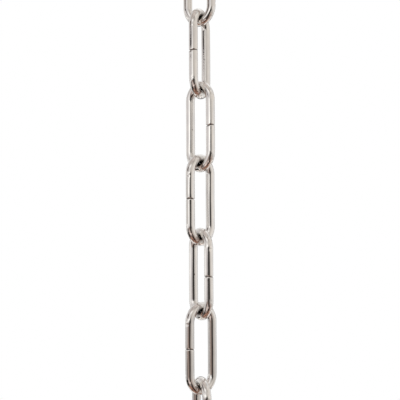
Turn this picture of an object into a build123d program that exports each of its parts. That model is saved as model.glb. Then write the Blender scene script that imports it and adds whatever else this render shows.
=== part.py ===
"""A hanging length of long-link decorative chain.

Seven identical links, each bent from one piece of round wire and closed by a butt cut halfway along
one leg. Every link hooks through the one above it, crown over crown. Neighbouring links stand a
quarter turn apart, and the chain carries a slow twist down its length. Millimetres, +Z up. The origin
is the inside of the top link's upper crown, where a hook bears. The middle link stands square to the
axes, in the YZ plane.
"""

import os
from math import atan2, degrees

from build123d import *

# Driving dimensions
WIRE_D = 3.9  # round wire
LINK_LENGTH = 40.2  # outside, over both crowns
LINK_WIDTH = 15.3  # outside, over both legs
CROWN_R = 4.7  # wire centreline, round the crown
END_RISE = 6.9  # wire centreline, from the end of the straight leg up to the crown
CUT_GAP = 0.25  # opening left between the two wire ends
CUT_CHAMFER = 0.2  # bevel that the cutter leaves round each wire end
RUNNING_GAP = 0.05  # clearance between the crowns of two hooked links
QUARTER_TURN = 90.0  # between neighbouring links
# How far each hanging link has twisted from square to the axes, about Z, from the top link down
TWISTS = (25.0, 21.0, 10.0, 0.0, -4.5, -9.0, -17.0)

# Worked out from them
WIRE_R = WIRE_D / 2
INSIDE_LENGTH = LINK_LENGTH - 2 * WIRE_D
PITCH = INSIDE_LENGTH - RUNNING_GAP
LEG_X = LINK_WIDTH / 2 - WIRE_R  # centreline of a leg, from the middle of the link
CROWN_TOP = LINK_LENGTH / 2 - WIRE_R  # centreline at the crown
LEG_END = CROWN_TOP - END_RISE  # where the straight leg ends
CROWN_CENTRE = CROWN_TOP - CROWN_R
# The shoulder arc is tangent to the leg at one end and to the crown arc at the other.
SHOULDER_R = (LEG_X**2 + (END_RISE - CROWN_R) ** 2 - CROWN_R**2) / (2 * (LEG_X - CROWN_R))
SHOULDER_SWEEP = degrees(atan2(END_RISE - CROWN_R, SHOULDER_R - LEG_X))
CROWN_SWEEP = 180 - 2 * SHOULDER_SWEEP


def link_plane(index):
    """The upright plane of a link, counted from 0 at the top.

    Local X points across the link to its cut leg, local Y points up, and the origin is its middle.
    """
    turn = TWISTS[index] - QUARTER_TURN * (index % 2)
    across = Vector(1, 0, 0).rotate(Axis.Z, turn)
    middle = Vector(0, 0, -INSIDE_LENGTH / 2 - PITCH * index)
    return Plane(origin=middle, x_dir=across, z_dir=across.cross(Vector(0, 0, 1)))


def link_centreline(plane):
    """The wire's centreline, from one side of the cut all the way round to the other."""
    with BuildLine(plane) as centreline:
        Line((LEG_X, CUT_GAP / 2), (LEG_X, LEG_END))
        for end, start in ((1, 0), (-1, 180)):
            shoulder_x = end * (LEG_X - SHOULDER_R)
            CenterArc((shoulder_x, end * LEG_END), SHOULDER_R, start, SHOULDER_SWEEP)
            CenterArc((0, end * CROWN_CENTRE), CROWN_R, start + SHOULDER_SWEEP, CROWN_SWEEP)
            CenterArc(
                (-shoulder_x, end * LEG_END), SHOULDER_R, start + 180 - SHOULDER_SWEEP, SHOULDER_SWEEP
            )
        Line((-LEG_X, LEG_END), (-LEG_X, -LEG_END))
        Line((LEG_X, -LEG_END), (LEG_X, -CUT_GAP / 2))
    return centreline.wire()


def bent_link(plane):
    """One link: round wire swept along the centreline, with both cut ends bevelled."""
    path = link_centreline(plane)
    with BuildPart() as link:
        with BuildSketch(Plane(origin=path @ 0, x_dir=plane.z_dir, z_dir=path % 0)):
            Circle(WIRE_R)
        sweep(path=path)
        cut_faces = link.faces().filter_by(GeomType.PLANE)
        chamfer(cut_faces.edges(), CUT_CHAMFER)
    return link


os.makedirs("parts", exist_ok=True)
for index in range(len(TWISTS)):
    name = f"link_{index + 1}"
    link = bent_link(link_plane(index))
    link.part.label = name
    export_step(link.part, f"parts/{name}.step")
    print(name, "volume", round(link.part.volume, 1), "mm3")
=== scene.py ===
"""The look of the hanging long-link chain.

Each CAD link is replaced by a finer one: the same bent wire, with the small unevenness of drawn and
formed wire, the nicks that the bending tool leaves, and a pinched cut. Metres throughout, in the
CAD model's frame. Inside a link, the wire's own sizes are in millimetres until its points are placed.
"""

import random
from math import atan2, cos, exp, pi, radians, sin

import bpy
import numpy as np
from mathutils import Matrix, Vector, noise


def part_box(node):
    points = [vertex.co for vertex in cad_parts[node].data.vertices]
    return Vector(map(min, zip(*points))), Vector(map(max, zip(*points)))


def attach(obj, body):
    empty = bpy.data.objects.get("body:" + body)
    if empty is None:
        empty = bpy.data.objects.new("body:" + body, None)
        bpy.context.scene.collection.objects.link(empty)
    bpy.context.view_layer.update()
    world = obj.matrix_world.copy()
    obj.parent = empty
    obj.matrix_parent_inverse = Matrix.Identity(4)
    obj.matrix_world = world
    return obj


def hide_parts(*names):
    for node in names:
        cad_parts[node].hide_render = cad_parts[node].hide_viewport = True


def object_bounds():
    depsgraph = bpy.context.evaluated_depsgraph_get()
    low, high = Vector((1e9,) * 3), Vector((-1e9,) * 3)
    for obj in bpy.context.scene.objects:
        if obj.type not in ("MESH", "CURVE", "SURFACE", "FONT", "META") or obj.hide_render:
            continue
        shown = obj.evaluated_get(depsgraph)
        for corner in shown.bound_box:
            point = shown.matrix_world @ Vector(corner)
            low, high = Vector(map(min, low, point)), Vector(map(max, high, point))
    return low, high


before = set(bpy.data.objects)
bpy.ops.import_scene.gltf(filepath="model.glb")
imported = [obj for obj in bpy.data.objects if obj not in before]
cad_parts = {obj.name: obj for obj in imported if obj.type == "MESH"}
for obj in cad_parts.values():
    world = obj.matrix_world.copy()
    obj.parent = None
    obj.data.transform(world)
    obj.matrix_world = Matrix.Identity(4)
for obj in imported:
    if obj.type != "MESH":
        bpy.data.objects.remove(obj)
cad_low, cad_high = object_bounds()

MM = 0.001

# The link, in millimetres, as in the CAD model
WIRE_R = 1.95
LEG_X = 5.7  # centreline of a leg, from the middle of the link
CROWN_TOP = 18.15  # centreline at the crown
CROWN_R = 4.7
END_RISE = 6.9  # centreline, from the end of the straight leg up to the crown
LEG_END = CROWN_TOP - END_RISE
SHOULDER_R = (LEG_X**2 + (END_RISE - CROWN_R) ** 2 - CROWN_R**2) / (2 * (LEG_X - CROWN_R))
SHOULDER_SWEEP = atan2(END_RISE - CROWN_R, SHOULDER_R - LEG_X)
CROWN_SWEEP = pi - 2 * SHOULDER_SWEEP
QUARTER_TURN = 90.0  # between neighbouring links, in degrees

# What is different from link to link, from the top link down
TWISTS = (25.0, 21.0, 10.0, 0.0, -4.5, -9.0, -17.0)  # in degrees, from square to the axes
OFF_AXIS = (0.0, 0.0, 0.08, -0.06, 0.0, -0.12, -0.02)  # millimetres to the camera's right
CUT_RISES = (0.0, 0.2, 0.0, 0.35, -0.9, 0.3, 0.0)  # millimetres from mid leg up to its cut

# The unevenness of drawn and bent wire. Lengths are in millimetres, angles in radians.
FIRST_SEED = 100  # of the top link's random draws
UNROUND = 0.045  # deepest hollow in the drawn wire's surface
HOLLOWS_ACROSS, HOLLOWS_ALONG = 1.3, 0.11  # how fast the hollows come, round the wire and along it
PATTERN_SHIFT = 50  # the most that a link's pattern of hollows is shifted, so that no two are alike
CROWN_TRUE = 2.0  # no hollows nearer than this to a crown's middle
CROWN_FADE = 5.0  # then they deepen over this length
LEG_BOW = 0.05  # the most that the middle of a leg strays
NICK_STRAY, NICK_TURN = 0.8, 0.5  # the most that a nick strays along the wire and round it
NICK_DEPTHS = (0.05, 0.12)
NICK_LENGTH, NICK_WIDTH = 0.38, 0.45  # a nick's half length along the wire, and its half angle round it

# The cut, where the wire ends are pinched
CUT_RINGS = (  # rings of points: distance from the middle of the cut, radius as a share of the wire's
    (0.62, 1.0),
    (0.42, 0.995),
    (0.30, 0.975),
    (0.20, 0.93),
    (0.13, 0.875),
    (0.085, 0.81),
    (0.07, 0.55),
)
CUT_WAVES = (0.14, 0.26)  # least and greatest height of the wave in a cut's edge
CUT_TILT = 0.12  # the most that a cut leans
CUT_STEPS_OUT = (0.03, 0.07)  # the ends' misfit outwards, least and greatest
CUT_STEP_SIDE = 0.06  # the most that the ends misfit sideways
CUT_REACH = 2.4  # how far the wave and the misfit fade out along the wire
CUT_CORE_WAVE = 0.35  # share of the wave that is left at the very middle of the cut face

# The patch inside a crown where the next link bears, which gets painted shade and a rougher plate
CONTACT_FULL, CONTACT_GONE = 1.3, 3.9  # distances along the wire from the crown's middle
CONTACT_SIDE = 0.45  # where it starts round the wire: the cosine of the angle from outwards

# The mesh
AROUND = 48  # points round the wire
STEP = 0.36  # along the wire, in millimetres

# The studio
CAMERA_HEADING = radians(-40.3)  # from the chain to the camera, about +Z from +X
CAMERA_DISTANCE = 0.295  # metres, as all lengths from here on are
CAMERA_DROP = 0.010  # below the middle of the middle link
CAMERA_ASIDE = 0.00024  # to the left of the chain
CAMERA_LENS = 60.5  # millimetres
CAMERA_ROLL = radians(-0.33)
CAMERA_CLIP = (0.01, 20)
FLOOR_DROP = 0.16  # from the lowest link down to the floor
FLOOR_RADIUS = 0.62
FLOOR_SIDES = 96
LAMP_PLACE = (0.5, -0.9, 1.1)
LAMP_SIZE = 0.9
LAMP_POWER = 34  # watts

links = sorted(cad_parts, key=lambda name: -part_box(name)[1].z)
middle_index = len(links) // 2


# ---------------------------------------------------------------- the wire's centreline


def centreline_segments():
    """(length, radius or None where straight) of each stretch, from the cut round to the cut."""
    bend = [
        (SHOULDER_R * SHOULDER_SWEEP, SHOULDER_R),
        (CROWN_R * CROWN_SWEEP, CROWN_R),
        (SHOULDER_R * SHOULDER_SWEEP, SHOULDER_R),
    ]
    half_leg = [(LEG_END, None)]
    return half_leg + bend + [(2 * LEG_END, None)] + bend + half_leg


SEGMENTS = centreline_segments()
WIRE_LENGTH = sum(length for length, _ in SEGMENTS)
BEND_LENGTH = 2 * SHOULDER_R * SHOULDER_SWEEP + CROWN_R * CROWN_SWEEP
TOP_CROWN = LEG_END + BEND_LENGTH / 2  # how far along the wire the upper crown is
BOTTOM_CROWN = WIRE_LENGTH - TOP_CROWN
# How far along the wire the straight legs end and start
LEG_ENDS = (LEG_END, LEG_END + BEND_LENGTH, WIRE_LENGTH / 2 + LEG_END, WIRE_LENGTH - LEG_END)


def centreline(along):
    """The centreline's place and heading, this far along the wire from the middle of the cut."""
    x, y, heading = LEG_X, 0.0, pi / 2
    left = along
    for length, radius in SEGMENTS:
        run = min(left, length)
        if radius is None:
            x += run * cos(heading)
            y += run * sin(heading)
        else:
            turned = heading + run / radius
            x += radius * (sin(turned) - sin(heading))
            y += radius * (cos(heading) - cos(turned))
            heading = turned
        left -= run
        if left <= 0:
            break
    return x, y, heading


def from_crown(place):
    """The distance along the wire to the middle of the nearer crown."""
    return min(abs(place - TOP_CROWN), abs(place - BOTTOM_CROWN))


def smooth(value):
    """0 to 1 with soft ends."""
    value = min(1.0, max(0.0, value))
    return value * value * (3 - 2 * value)


# ---------------------------------------------------------------- one link's mesh


class WireShape:
    """The small differences that make one link's wire its own."""

    def __init__(self, seed, cut_rise):
        draw = random.Random(seed)
        self.cut_rise = cut_rise
        self.offset = Vector([draw.uniform(-PATTERN_SHIFT, PATTERN_SHIFT) for _ in range(3)])
        self.bow = [draw.uniform(-LEG_BOW, LEG_BOW) for _ in range(4)]
        self.cut_wave = draw.uniform(*CUT_WAVES)
        self.cut_wave_turn = draw.uniform(0, 2 * pi)
        self.cut_tilt = draw.uniform(-CUT_TILT, CUT_TILT)
        self.cut_step = (draw.uniform(*CUT_STEPS_OUT), draw.uniform(-CUT_STEP_SIDE, CUT_STEP_SIDE))
        self.nicks = []
        for leg_end in LEG_ENDS:
            place = leg_end + draw.uniform(-NICK_STRAY, NICK_STRAY)
            turn = draw.uniform(-NICK_TURN, NICK_TURN)
            self.nicks.append((place, turn, draw.uniform(*NICK_DEPTHS)))

    def hollow(self, along, place, angle):
        """How far the surface lies inside the true round, in millimetres."""
        on_leg = smooth((from_crown(place) - CROWN_TRUE) / CROWN_FADE)
        point = Vector((HOLLOWS_ACROSS * cos(angle), HOLLOWS_ACROSS * sin(angle), HOLLOWS_ALONG * along))
        depth = UNROUND * on_leg * (0.5 + 0.5 * noise.noise(point + self.offset))
        for nick_place, turn, nick_depth in self.nicks:
            reach = (place - nick_place) / NICK_LENGTH
            side = ((angle - turn + pi) % (2 * pi) - pi) / NICK_WIDTH
            depth += nick_depth * exp(-reach * reach - side * side)
        return depth

    def sway(self, along):
        """How far the centreline strays from its true path, outwards and sideways, in millimetres."""
        cut_leg, plain_leg = self.bow[:2], self.bow[2:]
        outwards = sideways = 0.0
        for leg_middle, bow in ((0.0, cut_leg), (WIRE_LENGTH / 2, plain_leg), (WIRE_LENGTH, cut_leg)):
            share = max(0.0, 1 - ((along - leg_middle) / LEG_END) ** 2)
            outwards += bow[0] * share * share
            sideways += bow[1] * share * share
        return outwards, sideways


def ring_places():
    """Of every ring of points: distance along the wire, radius share, depth into the cut from 0 to 1."""
    first = CUT_RINGS[0][0]
    plain_length = WIRE_LENGTH - 2 * first
    count = int(plain_length / STEP)
    last = len(CUT_RINGS) - 1
    cut_end = [(gap, share, i / last) for i, (gap, share) in enumerate(CUT_RINGS)]
    plain = [(first + plain_length * i / count, 1.0, 0.0) for i in range(1, count)]
    return cut_end[::-1] + plain + [(WIRE_LENGTH - gap, share, depth) for gap, share, depth in cut_end]


def contact_share(place, angle):
    """1 on the inside of a crown, where the next link bears and rubs, fading to 0 round about. Painted
    shade goes here.
    """
    lengthwise = smooth((CONTACT_GONE - from_crown(place)) / (CONTACT_GONE - CONTACT_FULL))
    return lengthwise * smooth(CONTACT_SIDE - cos(angle))


def wire_faces(ring_count):
    """Faces from ring to ring, then a fan over each cut face, round the points that follow the rings."""
    faces = []
    for ring in range(ring_count - 1):
        a, b = ring * AROUND, (ring + 1) * AROUND
        for i in range(AROUND):
            j = (i + 1) % AROUND
            faces.append((a + i, b + i, b + j, a + j))
    for cut_face, (ring, order) in enumerate(((0, 1), (ring_count - 1, -1))):
        base = ring * AROUND
        middle = ring_count * AROUND + cut_face
        for i in range(AROUND):
            j = (i + 1) % AROUND
            faces.append((base + i, base + j, middle)[::order])
    return faces


def link_mesh(name, shape):
    """The wire of one link in its own plane: X across towards the cut leg, Y up, Z out of the plane."""
    points, wire_places, cut_depths, contact_shares = [], [], [], []
    for along, share, depth in ring_places():
        near_start = smooth(1 - along / CUT_REACH)
        near_end = smooth(1 - (WIRE_LENGTH - along) / CUT_REACH)
        place = (along + shape.cut_rise) % WIRE_LENGTH
        x, y, heading = centreline(place)
        outwards, sideways = shape.sway(place)
        outwards += shape.cut_step[0] * (near_end - near_start) / 2
        sideways += shape.cut_step[1] * (near_end - near_start) / 2
        out = Vector((sin(heading), -cos(heading), 0))
        side = Vector((0, 0, 1))
        middle = Vector((x, y, 0)) + out * outwards + side * sideways
        for i in range(AROUND):
            angle = 2 * pi * i / AROUND
            wave = shape.cut_wave * cos(2 * (angle - shape.cut_wave_turn)) + shape.cut_tilt * cos(angle)
            lift = wave * (near_start + near_end) * (CUT_CORE_WAVE + (1 - CUT_CORE_WAVE) * share)
            radius = WIRE_R * share - shape.hollow(along, place, angle) * (1 - depth)
            point = middle + (out * cos(angle) + side * sin(angle)) * radius
            point.y += lift
            points.append(point * MM)
            wire_places.append((WIRE_R * cos(angle), WIRE_R * sin(angle), along))
            cut_depths.append(depth)
            contact_shares.append(contact_share(place, angle))
    ring_count = len(points) // AROUND
    for ring in (0, ring_count - 1):
        base = ring * AROUND
        points.append(sum(points[base : base + AROUND], Vector()) / AROUND)
        wire_places.append((0.0, 0.0, wire_places[base][2]))
        cut_depths.append(1.0)
        contact_shares.append(0.0)
    mesh = bpy.data.meshes.new(name)
    mesh.from_pydata(points, [], wire_faces(ring_count))
    mesh.polygons.foreach_set("use_smooth", [True] * len(mesh.polygons))
    wire_place = mesh.attributes.new("wire_place", "FLOAT_VECTOR", "POINT")
    wire_place.data.foreach_set("vector", np.array(wire_places, dtype=np.float32).ravel())
    for key, values in (("cut_depth", cut_depths), ("contact_patch", contact_shares)):
        attribute = mesh.attributes.new(key, "FLOAT", "POINT")
        attribute.data.foreach_set("value", np.array(values, dtype=np.float32))
    return mesh


def link_placement(index, name):
    """From a link's own plane to the chain. The CAD node's box gives its height."""
    low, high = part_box(name)
    turn = radians(TWISTS[index] - QUARTER_TURN * (index % 2))
    across = Vector((cos(turn), sin(turn), 0))
    up = Vector((0, 0, 1))
    out = across.cross(up)
    place = Matrix((across, up, out)).transposed().to_4x4()
    to_right = Vector((-sin(CAMERA_HEADING), cos(CAMERA_HEADING), 0))
    place.translation = to_right * OFF_AXIS[index] * MM + Vector((0, 0, (low.z + high.z) / 2))
    return place


# ---------------------------------------------------------------- materials

# Patterns in the surface, in waves per millimetre: two across the wire, then one along it
HAZE_GRAIN = (0.5, 0.5, 0.22)
DRAW_LINE_GRAIN = (7.0, 7.0, 0.16)
ORANGE_PEEL_GRAIN = 1.7
ORANGE_PEEL_DEPTH = 0.006  # millimetres
DRAW_LINE_DEPTH = 0.0016

# Values of the patterns between which each look comes in
HAZE_COLOUR_RANGE = (0.35, 0.68)
HAZE_ROUGH_RANGE = (0.30, 0.75)
DRAW_LINE_RANGE = (0.45, 0.80)
SHADE_AND_WEAR_RANGE = (0.30, 0.60)
SHADE_AND_WEAR_AMOUNTS = (0.75, 1.0)  # least and greatest amount of painted shade, where the links rub hardest
CUT_RANGE = (0.55, 0.90)  # depths into the cut between which the plate gives way to bare steel

HAZY_PLATE, CLEAR_PLATE = (0.83, 0.815, 0.80), (0.90, 0.88, 0.85)
# Painted shade: near black, laid inside each crown where the next link bears
PAINTED_CONTACT_SHADE = (0.16, 0.145, 0.135)
CUT_STEEL = (0.20, 0.17, 0.15)

PLATE_ROUGHNESS = (0.03, 0.065)  # least and greatest; the next three are added to it
DRAW_LINE_ROUGHNESS = 0.04
WEAR_ROUGHNESS = 0.12
CUT_ROUGHNESS = 0.35

FLOOR_MOTTLE = ((0.86, 0.86, 0.855), (0.90, 0.90, 0.895))  # its darkest and lightest
FLOOR_GRAIN = 9.0  # waves per metre
FLOOR_ROUGHNESS = 0.9

# Places of the Mix node's colour sockets, which share their names with its other sockets
MIX_COLOUR_A, MIX_COLOUR_B, MIX_COLOUR_RESULT = 6, 7, 2


class Nodes:
    """A node tree, with short ways to add and join nodes."""

    def __init__(self, tree):
        self.tree = tree
        self.tree.nodes.clear()

    def add(self, kind, **settings):
        node = self.tree.nodes.new(kind)
        for key, value in settings.items():
            setattr(node, key, value)
        return node

    def join(self, output, socket):
        self.tree.links.new(output, socket)

    def feed(self, value, socket):
        """A number is set on the socket, a colour gets its alpha, and anything else is joined."""
        if isinstance(value, (int, float)):
            socket.default_value = value
        elif isinstance(value, tuple):
            socket.default_value = (*value, 1.0)
        else:
            self.join(value, socket)

    def math(self, operation, *values):
        node = self.add("ShaderNodeMath", operation=operation)
        for socket, value in zip(node.inputs, values):
            self.feed(value, socket)
        return node.outputs[0]

    def map_range(self, value, low, high, to_low=0.0, to_high=1.0, soft=True):
        node = self.add("ShaderNodeMapRange", interpolation_type="SMOOTHSTEP" if soft else "LINEAR")
        self.join(value, node.inputs["Value"])
        ends = {"From Min": low, "From Max": high, "To Min": to_low, "To Max": to_high}
        for key, number in ends.items():
            node.inputs[key].default_value = number
        return node.outputs["Result"]

    def mix(self, factor, a, b):
        node = self.add("ShaderNodeMix", data_type="RGBA")
        self.feed(factor, node.inputs["Factor"])
        self.feed(a, node.inputs[MIX_COLOUR_A])
        self.feed(b, node.inputs[MIX_COLOUR_B])
        return node.outputs[MIX_COLOUR_RESULT]

    def noise(self, vector, scale=1.0, detail=2.0, roughness=0.5):
        node = self.add("ShaderNodeTexNoise")
        self.join(vector, node.inputs["Vector"])
        node.inputs["Scale"].default_value = scale
        node.inputs["Detail"].default_value = detail
        node.inputs["Roughness"].default_value = roughness
        return node.outputs[0]

    def stretch(self, vector, scale):
        node = self.add("ShaderNodeMapping")
        self.join(vector, node.inputs["Vector"])
        node.inputs["Scale"].default_value = scale
        return node.outputs["Vector"]


def polished_nickel():
    """Bright nickel plate over drawn wire: faint draw lines, a little haze, bare steel in the cut, and
    painted shade inside the crowns where the links bear.
    """
    material = bpy.data.materials.new("polished_nickel")
    material.use_nodes = True
    nodes = Nodes(material.node_tree)
    wire_place = nodes.add("ShaderNodeAttribute", attribute_name="wire_place").outputs["Vector"]
    cut_depth = nodes.add("ShaderNodeAttribute", attribute_name="cut_depth").outputs["Fac"]
    contact_patch = nodes.add("ShaderNodeAttribute", attribute_name="contact_patch").outputs["Fac"]

    haze = nodes.noise(nodes.stretch(wire_place, HAZE_GRAIN), detail=4.0)
    draw_lines = nodes.noise(nodes.stretch(wire_place, DRAW_LINE_GRAIN), detail=3.0, roughness=0.6)
    orange_peel = nodes.noise(wire_place, ORANGE_PEEL_GRAIN)

    plate = nodes.mix(nodes.map_range(haze, *HAZE_COLOUR_RANGE), HAZY_PLATE, CLEAR_PLATE)
    in_cut = nodes.map_range(cut_depth, *CUT_RANGE)
    # Where links bear, a near-black colour is painted over the plate: painted shade between the links.
    # The plate there is also rougher, from wear.
    contact_shade_and_wear = nodes.math("MULTIPLY", contact_patch, nodes.map_range(orange_peel, *SHADE_AND_WEAR_RANGE, *SHADE_AND_WEAR_AMOUNTS))
    colour = nodes.mix(contact_shade_and_wear, plate, PAINTED_CONTACT_SHADE)
    colour = nodes.mix(in_cut, colour, CUT_STEEL)
    lines_rough = nodes.map_range(draw_lines, *DRAW_LINE_RANGE, 0.0, DRAW_LINE_ROUGHNESS)
    haze_rough = nodes.map_range(haze, *HAZE_ROUGH_RANGE, *PLATE_ROUGHNESS)
    rough = nodes.math("ADD", haze_rough, lines_rough)
    rough = nodes.math("ADD", rough, nodes.math("MULTIPLY", in_cut, CUT_ROUGHNESS))
    rough = nodes.math("ADD", rough, nodes.math("MULTIPLY", contact_shade_and_wear, WEAR_ROUGHNESS))

    height = nodes.math("MULTIPLY", orange_peel, ORANGE_PEEL_DEPTH)
    height = nodes.math("ADD", height, nodes.math("MULTIPLY", draw_lines, DRAW_LINE_DEPTH))
    bump = nodes.add("ShaderNodeBump")
    bump.inputs["Strength"].default_value = 1.0
    bump.inputs["Distance"].default_value = MM
    nodes.join(height, bump.inputs["Height"])

    shader = nodes.add("ShaderNodeBsdfPrincipled")
    shader.inputs["Metallic"].default_value = 1.0
    nodes.join(colour, shader.inputs["Base Color"])
    nodes.join(rough, shader.inputs["Roughness"])
    nodes.join(bump.outputs["Normal"], shader.inputs["Normal"])
    output = nodes.add("ShaderNodeOutputMaterial")
    nodes.join(shader.outputs["BSDF"], output.inputs["Surface"])
    return material


def pale_floor():
    """Matt white studio card."""
    material = bpy.data.materials.new("pale_floor")
    material.use_nodes = True
    nodes = Nodes(material.node_tree)
    where = nodes.add("ShaderNodeTexCoord").outputs["Object"]
    mottle = nodes.noise(where, FLOOR_GRAIN, detail=3.0)
    shader = nodes.add("ShaderNodeBsdfPrincipled")
    shader.inputs["Roughness"].default_value = FLOOR_ROUGHNESS
    nodes.join(nodes.mix(mottle, *FLOOR_MOTTLE), shader.inputs["Base Color"])
    output = nodes.add("ShaderNodeOutputMaterial")
    nodes.join(shader.outputs["BSDF"], output.inputs["Surface"])
    return material


# ---------------------------------------------------------------- the links


def build_links():
    nickel = polished_nickel()
    for index, name in enumerate(links):
        mesh = link_mesh(f"{name}_wire", WireShape(FIRST_SEED + index, CUT_RISES[index]))
        mesh.transform(link_placement(index, name))
        mesh.materials.append(nickel)
        piece = bpy.data.objects.new(f"{name}_wire", mesh)
        bpy.context.scene.collection.objects.link(piece)
        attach(piece, name)
        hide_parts(name)


# ---------------------------------------------------------------- the studio

# The light that the wire mirrors, as rings of stops. A ring's key is its height in degrees. Each stop is
# a bearing in degrees, from the camera round to its right, then the strength and the tint of the light
# there. The light runs evenly from stop to stop and from ring to ring. This isn't a plain studio: the
# values were set from how light the photographed wire is in each direction that it mirrors.
# Only the look depends on them.
NEUTRAL = (1.02, 1.0, 0.98)
BEIGE = (1.07, 1.0, 0.93)
LILAC = (1.04, 0.985, 0.975)
PINK = (1.10, 0.975, 0.91)
ROSE = (1.15, 0.96, 0.89)
WARM = (1.22, 0.95, 0.83)
BROWN = (1.55, 0.84, 0.61)

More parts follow.
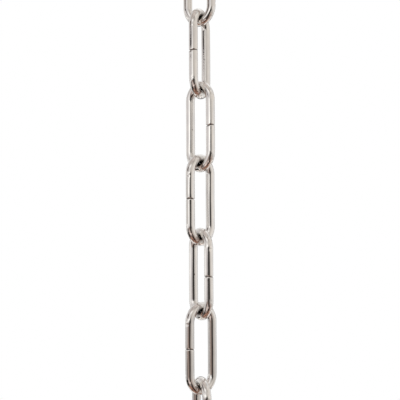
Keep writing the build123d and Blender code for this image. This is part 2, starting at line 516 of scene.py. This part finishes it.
RINGS = {
    90: [(-180, 0.58, PINK), (180, 0.58, PINK)],
    64: [
        (-180, 0.86, NEUTRAL), (-120, 0.50, PINK), (-60, 0.46, PINK), (0, 0.48, PINK),
        (60, 0.64, BEIGE), (120, 0.80, NEUTRAL), (180, 0.86, NEUTRAL),
    ],
    47: [
        (-180, 0.98, NEUTRAL), (-130, 0.66, NEUTRAL), (-100, 0.50, PINK), (-50, 0.50, PINK),
        (-20, 0.62, BEIGE), (20, 0.44, PINK), (50, 0.72, BEIGE), (90, 0.74, NEUTRAL),
        (120, 0.86, NEUTRAL), (180, 0.98, NEUTRAL),
    ],
    36: [
        (-180, 1.02, NEUTRAL), (-140, 0.70, NEUTRAL), (-100, 0.54, LILAC), (-58, 0.46, LILAC),
        (-42, 0.80, NEUTRAL), (-20, 1.15, NEUTRAL), (-4, 0.90, NEUTRAL), (10, 0.54, BEIGE),
        (28, 0.34, BEIGE), (48, 0.62, BEIGE), (70, 0.70, BEIGE), (110, 0.76, NEUTRAL),
        (150, 0.90, NEUTRAL), (180, 1.02, NEUTRAL),
    ],
    24: [
        (-180, 0.93, NEUTRAL), (-140, 0.78, NEUTRAL), (-108, 0.62, LILAC), (-56, 0.42, LILAC),
        (-42, 0.76, LILAC), (-20, 0.66, NEUTRAL), (6, 0.55, BEIGE), (40, 0.72, BEIGE),
        (110, 0.72, BEIGE), (150, 0.80, NEUTRAL), (180, 1.00, NEUTRAL),
    ],
    16: [
        (-180, 0.95, NEUTRAL), (-140, 0.80, NEUTRAL), (-112, 0.58, LILAC), (-50, 0.50, LILAC),
        (-36, 0.78, LILAC), (-14, 0.80, NEUTRAL), (-4, 0.58, BEIGE), (12, 0.55, BEIGE),
        (60, 0.68, BEIGE), (110, 0.74, BEIGE), (140, 0.84, NEUTRAL), (180, 0.95, NEUTRAL),
    ],
    11: [
        (-180, 0.96, NEUTRAL), (-130, 0.86, NEUTRAL), (-108, 0.64, LILAC), (-66, 0.68, LILAC),
        (-46, 0.84, NEUTRAL), (-32, 1.15, NEUTRAL), (-14, 1.05, NEUTRAL), (-2, 0.48, BEIGE),
        (14, 0.46, BEIGE), (34, 0.62, BEIGE), (56, 0.72, BEIGE), (110, 0.76, NEUTRAL),
        (140, 0.90, NEUTRAL), (180, 0.96, NEUTRAL),
    ],
    7: [
        (-180, 0.98, NEUTRAL), (-126, 0.95, NEUTRAL), (-92, 0.58, LILAC), (-66, 0.74, LILAC),
        (-46, 0.84, NEUTRAL), (-34, 1.15, NEUTRAL), (-20, 1.45, NEUTRAL), (-11, 1.25, NEUTRAL),
        (-5, 0.34, BEIGE), (4, 0.20, BEIGE), (14, 0.24, BEIGE), (28, 0.42, BEIGE),
        (42, 0.70, BEIGE), (60, 0.82, BEIGE), (110, 0.78, NEUTRAL), (140, 0.92, NEUTRAL),
        (180, 0.98, NEUTRAL),
    ],
    3: [
        (-180, 0.90, NEUTRAL), (-126, 0.72, NEUTRAL), (-88, 0.46, BEIGE), (-72, 0.62, LILAC),
        (-58, 1.15, NEUTRAL), (-44, 1.20, NEUTRAL), (-31, 0.78, NEUTRAL), (-15, 0.46, BEIGE),
        (-5, 0.17, BEIGE), (8, 0.10, BEIGE), (18, 0.28, BEIGE), (30, 0.64, BEIGE),
        (46, 0.76, BEIGE), (110, 0.82, NEUTRAL), (140, 1.00, NEUTRAL), (180, 0.90, NEUTRAL),
    ],
    0: [
        (-180, 0.92, NEUTRAL), (-126, 0.80, NEUTRAL), (-100, 0.66, NEUTRAL), (-80, 0.50, BEIGE),
        (-64, 0.72, LILAC), (-50, 1.06, NEUTRAL), (-42, 1.00, NEUTRAL), (-22, 0.60, NEUTRAL),
        (-12, 0.28, BEIGE), (-4, 0.06, BEIGE), (10, 0.06, BEIGE), (18, 0.22, BEIGE),
        (30, 0.50, BEIGE), (46, 0.76, BEIGE), (110, 0.83, NEUTRAL), (180, 0.91, NEUTRAL),
    ],
    -3: [
        (-180, 0.94, NEUTRAL), (-108, 0.92, NEUTRAL), (-84, 1.05, NEUTRAL), (-66, 0.78, LILAC),
        (-50, 0.62, LILAC), (-35, 0.60, LILAC), (-22, 0.44, LILAC), (-12, 0.12, BEIGE),
        (18, 0.09, BEIGE), (30, 0.20, BEIGE), (44, 0.66, BEIGE), (62, 0.74, BEIGE),
        (120, 0.84, NEUTRAL), (180, 0.92, NEUTRAL),
    ],
    -6: [
        (-180, 0.92, NEUTRAL), (-100, 0.88, NEUTRAL), (-67, 0.76, LILAC), (-48, 0.58, LILAC),
        (-32, 0.32, LILAC), (-16, 0.10, BEIGE), (16, 0.06, BEIGE), (30, 0.13, BEIGE),
        (44, 0.62, BEIGE), (62, 0.68, BEIGE), (120, 0.84, NEUTRAL), (180, 0.92, NEUTRAL),
    ],
    -9: [
        (-180, 0.90, NEUTRAL), (-112, 0.60, NEUTRAL), (-86, 0.52, LILAC), (-66, 0.48, LILAC),
        (-48, 0.34, WARM), (-30, 0.19, WARM), (-15, 0.17, WARM), (-8, 0.08, WARM), (14, 0.14, WARM),
        (30, 0.48, BEIGE), (60, 0.58, BEIGE), (100, 0.72, NEUTRAL), (150, 0.95, NEUTRAL),
        (180, 0.92, NEUTRAL),
    ],
    -13: [
        (-180, 0.86, NEUTRAL), (-112, 0.50, NEUTRAL), (-86, 0.44, LILAC), (-62, 0.46, WARM),
        (-46, 0.28, WARM), (-18, 0.16, WARM), (-8, 0.08, WARM), (14, 0.10, WARM), (32, 0.42, BEIGE),
        (60, 0.54, BEIGE), (100, 0.64, NEUTRAL), (150, 0.98, NEUTRAL), (180, 0.94, NEUTRAL),
    ],
    -20: [
        (-180, 0.88, NEUTRAL), (-125, 0.64, NEUTRAL), (-80, 0.36, LILAC), (-56, 0.46, ROSE),
        (-38, 0.52, ROSE), (-20, 0.22, ROSE), (-8, 0.10, WARM), (14, 0.14, WARM), (32, 0.42, WARM),
        (84, 0.46, BEIGE), (120, 0.72, NEUTRAL), (180, 0.90, NEUTRAL),
    ],
    -29: [
        (-180, 1.00, NEUTRAL), (-125, 0.66, NEUTRAL), (-96, 0.14, LILAC), (-66, 0.20, ROSE),
        (-46, 0.34, ROSE), (-34, 0.62, ROSE), (-12, 0.60, ROSE), (2, 0.20, WARM), (14, 0.06, WARM),
        (34, 0.20, WARM), (58, 0.48, WARM), (100, 0.66, BEIGE), (140, 0.90, NEUTRAL),
        (180, 1.00, NEUTRAL),
    ],
    -36: [
        (-180, 1.00, NEUTRAL), (-126, 0.78, BEIGE), (-98, 0.14, WARM), (-66, 0.13, WARM),
        (-46, 0.30, ROSE), (-35, 0.95, ROSE), (-7, 0.98, ROSE), (3, 0.14, WARM), (16, 0.04, WARM),
        (36, 0.12, BROWN), (60, 0.42, WARM), (100, 0.66, BEIGE), (150, 0.88, NEUTRAL),
        (180, 1.00, NEUTRAL),
    ],
    -43: [
        (-180, 0.98, NEUTRAL), (-126, 0.78, BEIGE), (-98, 0.30, WARM), (-80, 0.08, WARM),
        (-56, 0.08, WARM), (-38, 0.24, ROSE), (-18, 0.32, ROSE), (-3, 0.08, WARM), (10, 0.03, WARM),
        (34, 0.10, BROWN), (60, 0.36, WARM), (100, 0.60, BEIGE), (150, 0.84, NEUTRAL),
        (180, 0.98, NEUTRAL),
    ],
    -58: [
        (-180, 0.88, NEUTRAL), (-125, 0.62, BEIGE), (-90, 0.26, BROWN), (-56, 0.22, BROWN),
        (-30, 0.14, BROWN), (-16, 0.30, BROWN), (4, 0.06, BROWN), (30, 0.10, BROWN),
        (60, 0.22, BROWN), (110, 0.54, WARM), (150, 0.74, NEUTRAL), (180, 0.88, NEUTRAL),
    ],
    -90: [(-180, 0.20, BROWN), (180, 0.20, BROWN)],
}

# Dark things in front of the lights: bearing, height, half width and half height in degrees, strength.
# What each one is, is a guess.
GAPS = (
    (3, -11, 10, 16, 0.006),  # the camera and whoever holds it
    (9, -46, 9, 17, 0.008),  # its stand
    (-78, 24.5, 17, 7, 0.10),  # a dark doorway
    (-70, 15.1, 19, 1.2, 0.01),  # its sill
    (-66, -17, 8, 5, 0.004),  # the foot of a lamp stand
    (-95, -33, 27, 9, 0.002),  # a dark bench
    (26, -44, 13, 8, 0.030),  # a case on the floor
    (174, -9, 16, 24, 0.020),  # a black card behind the chain
    (-147, -6, 5, 30, 0.10),  # the card's stand
    (143, 8, 6, 26, 0.25),  # the edge of the backdrop
)
GAP_SOFTNESS = 0.25  # share of a gap's half size over which it fades
WAVER, WAVER_SCALE = 6.0, 5.0  # how far, in degrees, and how often the lights' upright edges waver

# Clutter in the room, which breaks the light into patches
CLUTTER_SCALE = (4.5, 4.5, 6.0)
CLUTTER_EDGES = (0.42, 0.58)  # values of the noise where a patch's edge starts and ends
CLUTTER_STRENGTHS = (0.35, 1.6)  # that a patch multiplies the light by, least and greatest
CLUTTER_BELOW = (-14.0, -34.0)  # heights between which it comes in below
CLUTTER_ABOVE = (30.0, 50.0)  # and overhead
CLUTTER_ABOVE_AMOUNT = 0.35


def light_ring(nodes, bearing, stops):
    """A colour for each bearing."""
    ramp = nodes.add("ShaderNodeValToRGB")
    elements = ramp.color_ramp.elements
    while len(elements) < len(stops):
        elements.new(0.5)
    for element, (degrees_round, strength, tint) in zip(elements, stops):
        element.position = (degrees_round + 180) / 360
        element.color = (*(strength * part for part in tint), 1.0)
    nodes.join(bearing, ramp.inputs["Fac"])
    return ramp.outputs["Color"]


def studio_world():
    """Plain white to the camera. To everything else, the uneven light and the dark gaps of a room."""
    world = bpy.data.worlds.new("studio")
    bpy.context.scene.world = world
    world.use_nodes = True
    nodes = Nodes(world.node_tree)
    direction = nodes.add("ShaderNodeTexCoord").outputs["Generated"]
    turned = nodes.add("ShaderNodeVectorRotate", rotation_type="Z_AXIS")
    nodes.join(direction, turned.inputs["Vector"])
    turned.inputs["Angle"].default_value = -CAMERA_HEADING
    parts = nodes.add("ShaderNodeSeparateXYZ")
    nodes.join(turned.outputs["Vector"], parts.inputs[0])
    around = nodes.math("DEGREES", nodes.math("ARCTAN2", parts.outputs["Y"], parts.outputs["X"]))
    height = nodes.math("DEGREES", nodes.math("ARCSINE", parts.outputs["Z"]))
    waver = nodes.math("SUBTRACT", nodes.noise(turned.outputs["Vector"], WAVER_SCALE), 0.5)
    around = nodes.math("ADD", around, nodes.math("MULTIPLY", waver, WAVER))
    bearing = nodes.math("DIVIDE", nodes.math("ADD", around, 180.0), 360.0)
    heights = sorted(RINGS)
    light = light_ring(nodes, bearing, RINGS[heights[0]])
    for low, high in zip(heights, heights[1:]):
        above = light_ring(nodes, bearing, RINGS[high])
        light = nodes.mix(nodes.map_range(height, low, high, soft=False), light, above)
    for gap_bearing, gap_height, half_width, half_height, gap_strength in GAPS:
        # A triangle wave, so that a gap runs on across the bearing where 180 meets -180.
        aside = nodes.math("PINGPONG", nodes.math("SUBTRACT", around, gap_bearing), 180.0)
        from_middle = nodes.math("ABSOLUTE", nodes.math("SUBTRACT", height, gap_height))
        soft = 1 - GAP_SOFTNESS
        across = nodes.map_range(aside, half_width * soft, half_width / soft, 1.0, 0.0)
        upright = nodes.map_range(from_middle, half_height * soft, half_height / soft, 1.0, 0.0)
        dark = tuple(gap_strength * part for part in WARM)
        light = nodes.mix(nodes.math("MULTIPLY", across, upright), light, dark)
    clutter_place = nodes.stretch(turned.outputs["Vector"], CLUTTER_SCALE)
    blotches = nodes.noise(clutter_place, detail=3.0, roughness=0.6)
    patches = nodes.map_range(blotches, *CLUTTER_EDGES, *CLUTTER_STRENGTHS)
    below = nodes.map_range(height, *CLUTTER_BELOW, 0.0, 1.0)
    overhead = nodes.map_range(height, *CLUTTER_ABOVE, 0.0, CLUTTER_ABOVE_AMOUNT)
    amount = nodes.math("ADD", below, overhead)
    swing = nodes.math("MULTIPLY", nodes.math("SUBTRACT", patches, 1.0), amount)
    strength = nodes.math("ADD", swing, 1.0)
    seen = nodes.add("ShaderNodeBackground")
    seen.inputs["Color"].default_value = (1, 1, 1, 1)
    studio = nodes.add("ShaderNodeBackground")
    nodes.join(light, studio.inputs["Color"])
    nodes.join(strength, studio.inputs["Strength"])
    choose = nodes.add("ShaderNodeMixShader")
    nodes.join(nodes.add("ShaderNodeLightPath").outputs["Is Camera Ray"], choose.inputs["Fac"])
    nodes.join(studio.outputs[0], choose.inputs[1])
    nodes.join(seen.outputs[0], choose.inputs[2])
    output = nodes.add("ShaderNodeOutputWorld")
    nodes.join(choose.outputs[0], output.inputs["Surface"])


def build_floor():
    bpy.ops.mesh.primitive_circle_add(
        vertices=FLOOR_SIDES,
        radius=FLOOR_RADIUS,
        fill_type="NGON",
        location=(0, 0, cad_low.z - FLOOR_DROP),
    )
    floor = bpy.context.object
    floor.name = "studio_floor"
    floor.data.materials.append(pale_floor())
    floor.visible_glossy = False


def build_light():
    data = bpy.data.lights.new("soft_box", "AREA")
    data.shape = "DISK"
    data.size = LAMP_SIZE
    data.energy = LAMP_POWER
    lamp = bpy.data.objects.new("soft_box", data)
    lamp.location = LAMP_PLACE
    downwards = Vector((0, 0, cad_low.z)) - lamp.location
    lamp.rotation_euler = downwards.to_track_quat("-Z", "Y").to_euler()
    lamp.visible_glossy = False
    bpy.context.scene.collection.objects.link(lamp)


def build_camera():
    """A little below the middle link, looking slightly up at it."""
    low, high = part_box(links[middle_index])
    back = Vector((cos(CAMERA_HEADING), sin(CAMERA_HEADING), 0))
    left = Vector((sin(CAMERA_HEADING), -cos(CAMERA_HEADING), 0))
    aim = Vector((0, 0, (low.z + high.z) / 2)) + left * CAMERA_ASIDE
    place = aim + back * CAMERA_DISTANCE - Vector((0, 0, CAMERA_DROP))
    data = bpy.data.cameras.new("camera")
    data.lens = CAMERA_LENS
    data.clip_start, data.clip_end = CAMERA_CLIP
    camera = bpy.data.objects.new("camera", data)
    camera.rotation_mode = "QUATERNION"
    camera.location = place
    level = (aim - place).to_track_quat("-Z", "Y")
    camera.rotation_quaternion = level @ Matrix.Rotation(CAMERA_ROLL, 3, "Z").to_quaternion()
    bpy.context.scene.collection.objects.link(camera)
    bpy.context.scene.camera = camera


build_links()
build_floor()
build_light()
build_camera()
studio_world()
bpy.context.scene.view_settings.view_transform = "Standard"

bpy.context.view_layer.update()
